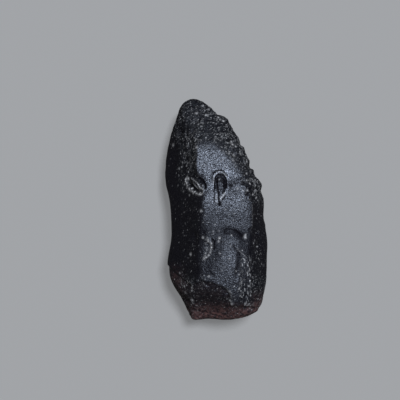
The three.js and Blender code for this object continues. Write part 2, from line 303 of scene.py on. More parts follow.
HAIRPIN_SIDE = [[214.6, 182], [214.6, 186.2], [214.3, 190.4], [214.3, 197.3], [214.3, 203.6]]
HAIRPIN_STRIP = [[216.3, 193.5], [216.4, 197], [216.4, 200.5], [216.4, 204.5]]
HAIRPIN_TAIL_LIP = [[225.6, 192], [224.1, 194.3], [222.7, 196], [220.9, 198.4], [220.4, 200.2]]
HAIRPIN_TAIL = [[224.9, 196.2], [223.6, 198], [222.3, 199.6]]
HOOK = [[230.0, 183.2], [230.3, 186], [229.8, 189], [228.6, 191.4]]
BRANCH = [[229.6, 187.2], [230.5, 184.4], [232.6, 182.2], [236, 181.0], [240, 180.8], [243.4, 180.8]]

# The almond is a chip with a beaded rim, beside a deep curl. A bead is a row of its x and y, its radius in
# frame units and how pale it is.
ALMOND_RIM = [
    [186.9, 176.8], [185.7, 179.2], [185.9, 181.5], [186.9, 183.6], [187.5, 186], [188.6, 188.4],
    [190.4, 190.4], [192.4, 191.7], [194.6, 192.6], [196.6, 193.7], [200, 194.4], [201.8, 193.5],
    [202.8, 191.6], [202.5, 189.5], [201.4, 188.6],
]
ALMOND_FAR_RIM = [
    [191.3, 178.2], [193, 179.6], [196, 181.8], [197.4, 183.3], [198.6, 184.9], [200.3, 188.2],
]
ALMOND_FLOOR = [[189.3, 181.4], [190.6, 184], [192.9, 187], [195.3, 189.6], [198.4, 191.3], [200.9, 191.6]]
ALMOND_INNER_RIDGE = [[193.4, 183.4], [195.5, 186.3], [197.5, 188.4], [199.2, 189.6]]
ALMOND_SLIT = [[195.4, 183.6], [196.9, 185.1], [198.3, 187]]
ALMOND_SHADOW = [
    [197.5, 178.2], [200.8, 179.4], [202.4, 181.2], [203.8, 183.6], [204.8, 186], [204.4, 189.6],
]
ALMOND_SHADOW_TWO = [[198.8, 180.0], [200.6, 182.2], [202.2, 185.0]]
ALMOND_BEADS = [
    [187.4, 176.9, 1.0, 0.4], [185.8, 179.3, 0.9, 0.9], [188.5, 178.5, 1.1, 1.0],
    [187.0, 178.7, 1.2, 0.6], [185.8, 181.5, 0.9, 1.0], [186.8, 183.2, 1.1, 0.9],
    [187.5, 185.5, 0.8, 0.8], [184.6, 184.4, 0.8, 0.3], [186.9, 188.0, 0.7, 0.35],
    [189.5, 189.3, 1.1, 0.8], [191.6, 188.4, 0.9, 0.85], [192.5, 191.5, 0.9, 0.9],
    [190.8, 191.2, 0.8, 0.4], [194.5, 192.0, 0.9, 0.7], [193.3, 193.3, 0.9, 0.5],
    [196.4, 193.6, 0.8, 0.75], [199.4, 194.3, 0.9, 1.0], [200.9, 194.5, 0.8, 1.0],
    [202.0, 193.4, 0.7, 0.7], [202.8, 191.8, 0.8, 0.65], [202.5, 189.6, 0.8, 0.6],
    [201.4, 188.7, 0.9, 0.7], [199.5, 192.8, 0.7, 0.5], [196.3, 182.2, 0.7, 0.45],
    [197.4, 183.4, 0.7, 0.7], [198.5, 184.8, 0.8, 1.0], [199.4, 186.6, 0.8, 0.75],
    [200.4, 188.2, 0.8, 0.5], [191.5, 178.3, 0.9, 0.4], [193, 179.6, 0.8, 0.3],
    [195.5, 186.3, 0.7, 0.4], [197.5, 188.5, 0.7, 0.45], [202.5, 185.5, 0.7, 0.3],
    [183.4, 191.4, 0.9, 0.25], [189.4, 195.2, 1.0, 0.25], [190.7, 182.3, 0.7, 0.18],
]

# Lower down: a crescent with a beaded lip, a fold, and the seam and ridge that bound the lobe. To their
# right the glass is streaked.
CRESCENT_CREASE = [[211.0, 237.8], [213.2, 241], [213.9, 244], [213.9, 247.5], [213.0, 250.2]]
CRESCENT_LIP = [
    [206.5, 239.2], [208.3, 240.5], [211.2, 243.6], [211.5, 247.5], [210.6, 251.2],
    [208.7, 255.2], [206.3, 257.3], [204.0, 259.3],
]
CRESCENT_BEADS = [
    [203.0, 237.5, 1.1, 0.8], [208.2, 239.8, 1.0, 0.8], [208.2, 241.1, 1.0, 0.85],
    [207.4, 237.5, 0.8, 0.35], [211.2, 243.4, 1.2, 0.8], [211.5, 247.5, 0.9, 1.0],
    [210.7, 249.7, 1.0, 0.55], [210.3, 252.5, 1.0, 0.6], [208.6, 255.4, 1.0, 0.8],
    [206.3, 257.3, 1.1, 0.8], [204.4, 258.4, 1.4, 0.6], [205.5, 253.3, 0.9, 0.6],
    [204.9, 255.9, 1.0, 0.5], [207.0, 248.3, 1.3, 0.3], [206.7, 250.3, 1.0, 0.3],
    [205.7, 243.5, 1.0, 0.3], [219.5, 238.0, 1.2, 0.8], [218.6, 241.4, 0.9, 0.9],
    [213.4, 231.4, 0.7, 0.6], [218.8, 231.0, 0.7, 0.4], [213.4, 234.0, 0.6, 0.3],
]
FOLD = [
    [222.3, 232.9], [224.8, 231.8], [228.0, 231.2], [231.6, 231.6], [235.2, 233.1], [238.2, 235.2],
    [240.4, 237.9], [241.6, 241.0],
]
FOLD_ARM = [[231.5, 230.6], [235.5, 231.8], [238.6, 233.8], [241.0, 236.6], [242.2, 240.0]]
SEAM = [[233.6, 244.3], [234.3, 246.4], [236.8, 250.6], [239.2, 254], [240.6, 257]]
SEAM_SHADE = [
    [237.2, 251.5], [238.6, 257], [239.0, 262], [238.3, 267.5], [236.4, 272.5], [233.5, 277],
]
SEAM_RIDGE = [[235.8, 246.4], [238.8, 250.6], [241.4, 252.9], [243.8, 254.8], [248, 259.4]]
STREAK_RIDGE = [[247.2, 261], [248.6, 266], [249.6, 272], [250.2, 279], [250.6, 286]]
STROKES = [
    [[242.2, 263.6], [242.8, 266.6]], [[244.2, 258.6], [245.2, 261.4]], [[247.2, 264.0], [248.2, 267.0]],
    [[249.2, 267.2], [249.8, 271.6]], [[246.9, 271.6], [248.1, 276.0]], [[249.4, 273.0], [250.6, 276.6]],
    [[235.8, 270.4], [236.6, 272.4]], [[241.4, 281.0], [241.8, 284.6]], [[244.6, 288.0], [245.0, 291.4]],
    [[239.2, 287.2], [239.4, 290.2]], [[247.8, 291.0], [248.0, 294.4]],
]

# The ledge is the right wall of the scar at the broken end. Two arcs lie at the tip.
LEDGE = [
    [228.0, 289.4], [228.8, 292.2], [231.3, 294.2], [231.0, 297.4], [229.8, 300.2], [231.5, 302.2],
    [232.4, 305.6], [235.2, 307.6],
]
LEDGE_FOOT = [[228.0, 294.5], [228.0, 298.0], [227.2, 301.0], [228.8, 304.5]]
TIP_ARCS = [
    [[180.4, 114.2], [182.6, 112.2], [185.6, 110.6], [189.6, 109.8]],
    [[183.3, 119.2], [185.0, 117.4], [187.6, 116.8], [189.8, 119.0]],
]

# The front face meets the sides at edges that are crisp where the glass is least worn. The left one stands
# highest along the shoulder, the upper end of the face.
LEFT_EDGE = [[196.4, 140], [197.2, 150], [197.6, 158], [197.8, 166], [199.4, 173.5], [202, 180]]
SHOULDER_EDGE = [[197.2, 151], *LEFT_EDGE[2:]]
RIGHT_EDGE = [[250.5, 196], [251.6, 205], [251.9, 215], [251.6, 226], [250.4, 234]]

# Round these marks the skin is smoothed first. There, and where the glass is deeply pitted or streaked, its
# faces are divided in four, which lets the marks be crisp.
MARKS = [
    HAIRPIN, HAIRPIN_BOWL, HAIRPIN_LIP, HAIRPIN_SIDE, ALMOND_RIM, ALMOND_FAR_RIM, ALMOND_SHADOW,
    CRESCENT_CREASE, CRESCENT_LIP, FOLD, SEAM,
]
PITTED_AND_STREAKED = [
    [[247.0, 182.0], [252.0, 187.0], [253.0, 194.0], [251.0, 199.5]],
    [[230.5, 140.5], [235.5, 149.5], [241.0, 158.0]],
    [[244.0, 259.0], [246.0, 268.0], [246.5, 280.0], [246.0, 298.0]],
]
WIPE_REACH = 2.6
WIPE_ROUNDS = 160
FINE_REACH = 1.6
PITTED_REACH = 1.8
DIVIDED_UNDER = 0.7  # in voxels: a vertex whose edges are shorter than this lies in divided faces
BROAD_ROUNDS = 12  # of smoothing, before the way that relief stands out is taken from the surface
SEED = 41


def near(lines, reach):
    """How near each vertex is to one of the lines, from 1 on it to 0 at the reach."""
    share = np.zeros(len(base))
    for places in lines:
        distance, _ = distance_to(curve(places), 2 * reach)
        share = np.maximum(share, 1 - smoothstep(0.6 * reach, reach, distance))
    return share


def refine(mesh, chosen):
    """Divides in four the faces whose corners are all chosen."""
    shape = bmesh.new()
    shape.from_mesh(mesh)
    faces = [face for face in shape.faces if all(chosen[v.index] for v in face.verts)]
    sides = list(dict.fromkeys(side for face in faces for side in face.edges))
    bmesh.ops.subdivide_edges(shape, edges=sides, cuts=1, use_grid_fill=True)
    shape.to_mesh(mesh)
    shape.free()


place_points(mesh, smoothed(co, WIPE_ROUNDS, 0.5 * near(MARKS, WIPE_REACH)))
refine(mesh, near(MARKS, FINE_REACH) + near(PITTED_AND_STREAKED, PITTED_REACH) > 0)
co, triangles, edges, valence = arrays_of(mesh)
COUNT = len(co)
lengths = np.linalg.norm(co[edges[:, 0]] - co[edges[:, 1]], axis=1)
spacing = sum(gathered(edges[:, i], lengths) for i in range(2)) / valence / VOXEL
co = smoothed(co, EVENING_ROUNDS, np.where(spacing < DIVIDED_UNDER, 0.5, 0))

base = co.copy()
U, V = in_frame(base)
base_tree = BVHTree.FromPolygons(base.tolist(), triangles.tolist())
marked = near(MARKS, WIPE_REACH)
base_normals = normals_of(smoothed(co, BROAD_ROUNDS))
rng = np.random.default_rng(SEED)

# ---- Where the glass is smooth and where it is etched ------------------------------------------------
# Each region of the stone is a share from 0 to 1 at each vertex. U and V are the vertex's x and y in the
# frame, and the numbers beside them are places there. A number that multiplies a region is its weight.
upper = smoothstep(3, 9, base[:, 2])  # what can be seen from the front, its edges included
left_ridge = np.interp(
    V,
    [142, 150, 160, 170, 175, 182, 200, 215, 230, 242, 255, 262, 282],
    [196.5, 197, 197, 197.5, 198.5, 200, 203, 206.5, 212, 212, 206.5, 204.5, 204.5],
)
right_ridge = np.interp(
    V, [140, 150, 160, 170, 180, 200, 310], [211, 221, 229.5, 239, 243.5, 250, 251]
)
left_soft = np.interp(V, [150, 176, 190, 230, 250, 262], [2.5, 2.5, 3.5, 3.5, 2.5, 1])
past_left = smoothstep(-1, 1, (U - left_ridge) / left_soft)
right_soft = np.interp(V, [150, 190, 200], [5.5, 4, 2])
past_right = smoothstep(-1, 1, (U - right_ridge) / right_soft)
scar_top = np.interp(
    U, [165, 180, 190, 203, 215, 226, 229], [262, 276, 284.5, 281, 284, 289, 293]
)
ledge = 1 - smoothstep(229.0, 231.5, U)  # the scar's right wall
patchy = noise_at(5.0, seed=1, octaves=3)

below_scar_top = V - scar_top + 1.2 * noise_at(1.6, seed=4)
in_scar = upper * smoothstep(-1.0, 1.8, below_scar_top) * np.maximum(ledge, smoothstep(305, 309, V))
face_top = np.interp(U, [196, 212, 226], [139, 141, 148])
front_face = (
    upper * smoothstep(0, 15, V - face_top) * past_left * (1 - past_right) * (1 - in_scar)
)
shoulder = front_face * (1 - smoothstep(190, 220, V))  # the face's upper end, the smoothest of it
lobe_side = U - np.interp(V, [228, 236, 256, 263, 275, 285], [230, 223.5, 222, 216, 211, 214])
valley = front_face * between(V, 227, 277, 4) * (1 - smoothstep(-3, 3, lobe_side))
lobe = (
    front_face * between(V, 252, 286, 5) * smoothstep(-3, 3, lobe_side) * (1 - smoothstep(235, 240, U))
)
lobe_foot = front_face * between(U, 212, 240, 3) * smoothstep(272, 284, V)
beside_lobe = upper * between(V, 236, 308, 5) * between(U, 238.5, 252, 1.5)
streaked = upper * between(V, 254, 308, 6) * between(U, 240, 251.5, 2)


def patch(x, y, half_width, half_height):
    """A soft-edged ellipse on the front of the stone, in frame units."""
    return upper * np.exp(-(((U - x) / half_width) ** 2 + ((V - y) / half_height) ** 2))


tip = upper * (1 - smoothstep(138, 152, V))
tip_hollow = patch(217, 128, 9, 6)
tip_side = patch(181, 131, 8, 9)
left_band = upper * between(V, 138, 190, 8) * smoothstep(174, 184, U) * (1 - past_left)
right_band = upper * between(V, 100, 202, 5) * past_right
right_flank = upper * between(V, 202, 300, 5) * past_right
left_flank = (
    upper * smoothstep(128, 145, V) * (1 - smoothstep(171, 182, U)) * (1 - smoothstep(258, 275, V))
)
rough_below = upper * smoothstep(272, 282, V) * (1 - front_face)
left_facet = upper * between(V, 196, 280, 8) * smoothstep(176, 186, U) * (1 - past_left) * (1 - in_scar)
unseen = (1 - upper) * np.clip(0.5 + 0.6 * patchy, 0.1, 0.9)
cluster = patch(251.5, 189, 8, 11)
shoulder_top = patch(219, 143, 11, 8)
facet_foot = patch(197.5, 271, 6, 9)

smooth_scar = in_scar * between(U, 198, 232, 5)
left_facet *= 1 - 0.8 * facet_foot
rough_below *= 1 - 0.8 * facet_foot
rough_skin = np.clip(
    0.70 * tip * (1 - 0.5 * tip_hollow - 0.4 * tip_side) * (1 - 0.8 * shoulder_top)
    + 0.72 * left_band
    + 0.13 * left_facet
    + 0.75 * right_band
    + 0.22 * right_flank
    + 0.60 * rough_below * (1 - 0.5 * smooth_scar)
    + 0.65 * unseen,
    0,
    1,
) * (1 - 0.9 * left_flank)
frost = np.clip(
    0.04 + 0.42 * front_face - 0.2 * shoulder + 0.9 * rough_skin + 0.06 * patchy, 0.02, 1
)
gloss = np.clip(
    0.42
    - 0.24 * rough_skin
    + 0.06 * front_face
    + 0.36 * shoulder
    + 0.22 * lobe_foot
    - 0.10 * tip
    - 0.27 * beside_lobe
    - 0.08 * right_flank
    - 0.2 * cluster,
    0.05,
    1,
)
gloss *= (1 - 0.5 * valley) * (1 + 0.25 * lobe)

# Where the front face is more or less polished than round about: place, half width and height, share.
POLISH = [
    [219, 166, 8, 6, -0.15], [234, 209, 11, 7, 0.45], [237, 190, 8, 6, -0.3], [245, 234, 6, 7, -0.45],
    [222, 240, 5, 6, -0.25], [218, 149, 7, 5, -0.2], [227, 172, 4, 6, 0.15], [211, 198, 4, 6, 0.15],
    [230, 222, 7, 3.5, 0.3], [205.5, 233, 4.5, 12, -0.8], [210, 222, 4, 7, -0.2],
    [213, 268, 8, 12, -0.2], [232, 261, 5, 6, 0.25], [236, 282, 6, 8, -0.35],
    [226, 190, 3, 4, -0.25], [247, 214, 4, 6, 0.2],
]
for *ellipse, share in POLISH:
    gloss *= 1 + share * patch(*ellipse)
gloss *= 1 + 0.35 * shoulder * noise_at(1.1, seed=5)

# ---- Relief ---------------------------------------------------------------------------------------------
# Heights, depths, half widths, the radii of scallops and pits, and the sizes of cells and noise are in
# millimetres.
relief = 0.10 * noise_at(7.0, seed=3) * (1 - front_face)


# Shapes of a mark's section, by the distance from its middle in half widths.
def rounded(distance):
    return np.exp(-(distance**2))


def wedge(distance):
    return np.clip(1 - distance, 0, 1)


def edge(distance):
    return np.clip(1 - distance, 0, 1) ** 2


def trough(distance):
    return 1 - smoothstep(0.5, 1.1, distance)


def along_line(places, half_width, section, fade):
    """The section of a mark at each vertex. It may fade out towards its ends."""
    distance, along = distance_to(curve(places), 3 * half_width)
    profile = section(distance / half_width)
    if fade:
        profile = profile * smoothstep(0, fade, along) * smoothstep(0, fade, 1 - along)
    return profile


def carve(places, half_width, depth, section=rounded, fade=0.0, dulled=0.0):
    """A groove, or a ridge where the depth is negative. The glass in a groove may be dull."""
    profile = along_line(places, half_width, section, fade)
    relief[:] -= depth * profile
    gloss[:] *= 1 - dulled * np.sqrt(profile)


def shine(places, half_width, amount, fade=0.0):
    """Glass that is more glossy along a line, or less where the amount is negative."""
    gloss[:] *= 1 + amount * along_line(places, half_width, rounded, fade)


carve(LEFT_EDGE, 2.8, -0.42, edge, fade=0.25)
carve(SHOULDER_EDGE, 3.0, -0.55, edge, fade=0.3)
carve(RIGHT_EDGE, 2.0, -0.34, edge, fade=0.25)

# The scar that the end broke off along, and the streaked side of the front face beside it.
relief -= 0.55 * in_scar
streaks = noise_at(0.5, seed=6, stretch=(1, 6, 5))
relief += 0.07 * streaked * streaks
carve(STREAK_RIDGE, 0.5, -0.12, fade=0.1)
for places in TIP_ARCS:
    carve(places, 0.45, -0.16, fade=0.3)

# Grain: the skin is etched all over, into tiny cups where it is rough and larger ones where it is cupped.
SMALL_CUP = 0.85
CUP = 1.25
CELL_SHIFT = (7.1, 3.3, 9.7)  # how far the cells move from one seed to the next


def cells(size, seed):
    """Each vertex's distance to the middle of its cell, and its lead over the next cell's, in sizes."""
    shift = Vector([seed * step for step in CELL_SHIFT])
    found = [noise.voronoi(Vector(p) / size + shift)[0] for p in base.tolist()]
    own, following = np.array(found)[:, :2].T
    return own, following - own


speckle = smoothed(rng.normal(size=COUNT), 1) * np.minimum(spacing, 1)
relief += (0.008 + 0.027 * front_face + 0.035 * rough_skin) * (1 - 0.6 * marked) * speckle
small_cups, _ = cells(SMALL_CUP, 1)
relief += 0.06 * rough_skin * (small_cups**2 - 0.25)
cups, cup_rims = cells(CUP, 2)
cupped = np.clip(0.6 * right_band + cluster + 0.1 * tip, 0, 1)
relief += 0.26 * cupped * (np.minimum(cups, 0.8) ** 2 - 0.3)
gloss *= 1 - 0.75 * cluster * (1 - smoothstep(0.2, 0.5, cups))

# The outline: scallops and corners down the stone's sides, by their place, radius and height.
RIM = [
    [179.5, 108.5, 1.2, 0.25], [212.2, 109.0, 1.0, 0.50], [215.0, 111.6, 0.7, 0.40],
    [217.2, 114.4, 0.5, -0.25], [222.5, 116.8, 1.0, 0.10], [226.4, 119.2, 1.1, 0.45],
    [228.8, 122.0, 1.0, 0.30], [231.2, 126.0, 1.0, 0.15], [238.5, 138.0, 1.2, 0.22],
    [241.0, 145.2, 0.6, -0.25], [243.8, 148.2, 1.1, 0.25], [246.8, 155.5, 1.2, 0.22],
    [249.3, 161.0, 1.2, 0.42], [249.9, 166.6, 0.9, -0.50], [253.3, 170.0, 0.6, 0.20],
    [254.6, 175.4, 1.1, -0.45], [260.5, 183.2, 1.1, 0.30], [262.2, 186.2, 0.7, 0.25],
    [261.4, 190.0, 1.1, -0.45], [262.5, 195.0, 1.1, -0.28], [265.5, 224.5, 1.2, 0.22],
    [257.6, 310.8, 1.4, 0.68], [251.5, 314.0, 1.9, 0.53], [244.0, 317.0, 2.2, 0.40],
    [233.0, 318.8, 2.6, 0.29], [222.0, 319.8, 2.6, 0.34], [168.4, 266.0, 3.6, 0.12],
    [170.2, 276.0, 3.6, 0.30], [172.6, 284.0, 3.4, 0.30], [176.4, 290.5, 3.0, 0.15],
    [193.8, 317.4, 1.3, 0.76], [199.5, 318.8, 1.5, 0.30],
]
sideways = smoothstep(0.5, 0.9, np.hypot(base_normals[:, 0], base_normals[:, 1]))
for x, y, radius, height in RIM:
    gap = np.hypot(U - x, V - y) * UNIT / radius
    relief += height * sideways * np.exp(-(gap**2))

# Pits.
point_tree = KDTree(COUNT)
for index, point in enumerate(base.tolist()):
    point_tree.insert(point, index)
point_tree.balance()


def by_area(density):
    """Each vertex's chance of being drawn, for a density over the surface."""
    chance = density * spacing**2
    return chance / chance.sum()


def scattered(count, density, smallest, largest, depth_share):
    """Pits strewn where the density is high: a middle, a radius and a depth each."""
    middles = rng.choice(COUNT, count, p=by_area(density))
    radii = smallest + (largest - smallest) * rng.random(count) ** 2.5
    depths = radii * depth_share * (0.6 + 0.4 * rng.random(count))
    return [(base[m], r, d) for m, r, d in zip(middles, radii, depths)]


def sunk_by(pits):
    """How deep the pits are at each vertex. Where pits meet, the deeper one shows, with a crest between."""
    sunk = np.zeros(COUNT)
    for middle, radius, depth in pits:
        for _, i, gap in point_tree.find_range(middle.tolist(), radius):
            sunk[i] = max(sunk[i], depth * (1 - (gap / radius) ** 2))
    return sunk


facing_right = base_normals @ np.array([0.93, 0.37, 0])
right_rim = smoothstep(0.75, 0.9, facing_right) * between(base[:, 2], 7, 17, 1) * between(V, 100, 200, 4)

# Strewn pits: how many, how dense, the least and the greatest radius, and the depth as a share of it.
PIT_FIELDS = [
    [2500, (0.02 + 1.3 * rough_skin) * (1 - marked), 0.34, 1.0, 0.34],
    [450, (0.02 + shoulder) * (1 - marked), 0.3, 0.45, 0.3],
    [350, (0.02 + front_face) * (1 - marked), 0.3, 0.45, 0.25],
    [45, right_rim, 0.8, 1.4, 0.36],
]
for field in PIT_FIELDS:
    relief -= sunk_by(scattered(*field))

# Pits with a place of their own: x, y, radius and depth.
PITS = [
    [219.4, 204.7, 0.48, 0.32], [220.5, 202.4, 0.28, 0.20], [220.8, 205.3, 0.32, 0.22],
    [257.0, 233.0, 0.85, 0.60], [240.8, 147.5, 1.0, 0.55],
    [249.0, 167.5, 1.0, 0.55], [243.5, 183.0, 0.75, 0.50], [246.8, 186.3, 0.55, 0.35],
    [250.0, 180.6, 0.75, 0.45], [253.4, 184.2, 0.65, 0.45], [256.6, 179.0, 0.55, 0.35],
    [259.4, 183.2, 0.60, 0.40], [250.3, 189.6, 0.75, 0.50], [254.6, 189.4, 0.65, 0.45],
    [247.0, 193.5, 0.70, 0.45], [251.6, 194.4, 0.60, 0.40], [257.4, 193.8, 0.65, 0.40],
    [250.2, 198.6, 0.55, 0.35], [254.0, 198.8, 0.55, 0.35], [258.8, 188.4, 0.60, 0.40],
]
named = sunk_by([(seen(x, y), radius, depth) for x, y, radius, depth in PITS])
relief -= named
gloss *= 1 - 0.8 * smoothstep(0, 0.25, named)

# Marks. They go in last, so that pits don't break them up.
# Paleness: partly wear, partly painted highlights on lips, rims, crests and spots.
pale_wear_and_highlight = np.zeros(COUNT)


def wear_and_highlight_line(places, half_width, amount, grain=0.0, seed=0.0, fade=0.0):
    """Pale along a line, partly wear and partly painted highlight; in grains where a grain size is given.
    """
    share = amount * along_line(places, half_width, rounded, fade)
    if grain:
        share = share * smoothstep(-0.2, 0.4, noise_at(grain, seed))
    pale_wear_and_highlight[:] = np.maximum(pale_wear_and_highlight, share)


def spot(x, y, radius, amount, height=0.0):
    """A pale spot, partly a bruise and partly a painted highlight, of a radius in frame units. It may stand
    proud.
    """
    gap = np.linalg.norm(base - seen(x, y), axis=1) / (radius * UNIT)
    pale_wear_and_highlight[:] = np.maximum(pale_wear_and_highlight, amount * np.exp(-(gap**2)))
    relief[:] += height * np.exp(-(gap**2))


def spots(rows, size=1, strength=1, height=0.0):
    """Pale spots, partly bruises and partly painted highlights, at rows of x, y, radius and amount. Each is
    as high as its amount times the height.
    """
    for x, y, radius, amount in rows:
        spot(x, y, size * radius, strength * amount, height * amount)


# The hairpin, with its branch and hook.
carve(BRANCH, 0.9, 0.28, dulled=0.6, fade=0.15)
shine(HAIRPIN_ISLAND, 0.9, -0.6)
carve(HAIRPIN_BOWL, 0.64, 0.30, trough, dulled=0.87, fade=0.1)
carve(HAIRPIN_BOWL_TOP, 0.85, 0.10, trough, dulled=0.8)
carve(HAIRPIN_BOWL_TAIL, 0.36, 0.16, trough, dulled=0.85, fade=0.1)
carve(HAIRPIN, 0.28, 0.30, wedge, dulled=0.95)
carve(HAIRPIN_ISLAND, 0.5, -0.05)
carve(HAIRPIN_LIP, 0.22, -0.10, fade=0.1)
carve(HAIRPIN_OUTER, 0.26, 0.16, wedge, fade=0.08, dulled=0.9)
carve(HAIRPIN_OUTER_LEFT, 0.42, 0.16, wedge, fade=0.15, dulled=0.6)
carve(HAIRPIN_SIDE, 0.22, 0.16, wedge, fade=0.05, dulled=0.85)
carve(HAIRPIN_STRIP, 0.32, -0.05)
carve(HAIRPIN_TAIL_LIP, 0.22, -0.10, fade=0.1)
carve(HAIRPIN_TAIL, 0.32, 0.14, wedge, dulled=0.95)
carve(HOOK, 0.40, 0.16, wedge, fade=0.2, dulled=0.9)
shine(HAIRPIN_LIP, 0.26, 0.6, fade=0.12)
shine(HAIRPIN_STRIP, 0.34, 0.6, fade=0.15)
shine(HAIRPIN_TAIL_LIP, 0.24, 0.8, fade=0.1)
wear_and_highlight_line(HAIRPIN_LIP, 0.22, 0.24, fade=0.12)
wear_and_highlight_line(HAIRPIN_STRIP, 0.34, 0.18, fade=0.2)
wear_and_highlight_line(HAIRPIN_TAIL_LIP, 0.26, 0.45, fade=0.1)
spot(219.4, 179.4, 0.8, 0.3)

# The almond and the crescent.
carve(ALMOND_FLOOR, 0.85, 0.45, trough, dulled=0.85)
carve(ALMOND_SHADOW, 0.62, 0.45, wedge, fade=0.12, dulled=0.95)
carve(ALMOND_SHADOW_TWO, 0.75, 0.3, wedge, fade=0.2, dulled=0.95)
carve(ALMOND_RIM, 0.34, -0.10, fade=0.05)
carve(ALMOND_FAR_RIM, 0.24, -0.14, fade=0.05)
carve(ALMOND_INNER_RIDGE, 0.26, -0.18)
carve(ALMOND_SLIT, 0.26, 0.25, wedge, fade=0.2, dulled=0.9)
wear_and_highlight_line(ALMOND_RIM, 0.40, 0.34, grain=0.45, seed=2)
wear_and_highlight_line(ALMOND_FAR_RIM, 0.24, 0.28)
wear_and_highlight_line(ALMOND_INNER_RIDGE, 0.24, 0.22)
carve(CRESCENT_CREASE, 0.42, 0.35, wedge, fade=0.2, dulled=0.7)
carve(CRESCENT_LIP, 0.5, -0.18, fade=0.15)
wear_and_highlight_line(CRESCENT_LIP, 0.40, 0.14)
spots(ALMOND_BEADS, height=0.09)
spots(CRESCENT_BEADS, size=0.9, strength=0.72, height=0.06)

# The fold, the seam and the strokes on the streaked side.
carve(FOLD, 0.95, 0.34, fade=0.2, dulled=0.6)
carve(FOLD_ARM, 0.5, 0.14, fade=0.25, dulled=0.6)
carve(SEAM, 0.30, 0.15, wedge, fade=0.2, dulled=0.75)
carve(SEAM_SHADE, 0.60, 0.20, fade=0.25, dulled=0.5)
carve(SEAM_RIDGE, 0.24, -0.09, fade=0.2)
wear_and_highlight_line(SEAM_RIDGE, 0.17, 0.16, fade=0.2)
for places in STROKES:
    wear_and_highlight_line(places, 0.13, 0.55, fade=0.15)

# The right edge of the front face, and the ledge.
shine(RIGHT_EDGE, 0.24, 0.5, fade=0.2)
wear_and_highlight_line(RIGHT_EDGE, 0.18, 0.22, grain=0.6, seed=3, fade=0.2)
carve(LEDGE_FOOT, 0.4, 0.3, wedge, fade=0.2, dulled=0.9)
carve(LEDGE, 0.4, -0.14, fade=0.1)
wear_and_highlight_line(LEDGE, 0.40, 0.20, grain=0.5, seed=7)

co = co + base_normals * relief[:, None]

# ---- Pale crests, partly bruising and partly painted highlight, and painted shade in hollows ---------
normals = normals_of(co)
bulge = np.einsum("ij,ij->i", co - neighbour_mean(co), normals) / spacing**1.5
crest = smoothstep(0.02, 0.06, bulge)
# Painted shade: the colour is darkened where the surface is hollow.
painted_hollow_shade = smoothstep(0.005, 0.04, -bulge)
crest_patches = smoothstep(0.0, 0.45, noise_at(1.3, seed=8))
bruise_and_highlight_weight = np.clip(0.28 * rough_skin + 0.08 * right_band + 0.06 * front_face, 0, 1)
# Crests are painted pale: partly bruising, partly painted highlight.
pale_wear_and_highlight = np.maximum(pale_wear_and_highlight, 0.7 * crest * crest_patches * bruise_and_highlight_weight)
rim_patches = smoothstep(0.1, 0.35, noise_at(2.0, seed=9))
# Cup rims are painted pale: partly chips, partly painted highlight.
pale_wear_and_highlight = np.maximum(pale_wear_and_highlight, 0.32 * cupped * rim_patches * (1 - smoothstep(0.02, 0.14, cup_rims)))
pale_wear_and_highlight = np.maximum(pale_wear_and_highlight, 0.05 * streaked * smoothstep(0.1, 0.45, streaks))

# Single pale specks, partly grains of crushed glass and partly painted glints. Where the glass is streaked,
# and a little on the left band, they are drawn out lengthwise over the next vertices.
SPECK_COUNT = 2100
speck_density = (
    0.02 + bruise_and_highlight_weight + 0.34 * left_band + 0.10 * left_facet + 0.08 * left_flank + 0.36 * streaked
)
specks = rng.choice(COUNT, SPECK_COUNT, replace=False, p=by_area(speck_density))
crushed_and_glint = np.zeros(COUNT)
crushed_and_glint[specks] = 0.12 + 0.5 * rng.random(SPECK_COUNT) ** 2
crushed_and_glint *= 1 - 0.6 * left_flank - 0.3 * left_facet
drawn_out = 0.15 * left_band + 0.7 * streaked
lengthwise = edges[np.abs(base[edges[:, 0], 1] - base[edges[:, 1], 1]) > 0.8 * lengths]
for ends in (lengthwise, lengthwise[:, ::-1]) * 2:
    streak = crushed_and_glint[ends[:, 0]] * drawn_out[ends[:, 0]]
    np.maximum.at(crushed_and_glint, ends[:, 1], streak)
pale_wear_and_highlight = np.maximum(pale_wear_and_highlight, crushed_and_glint)
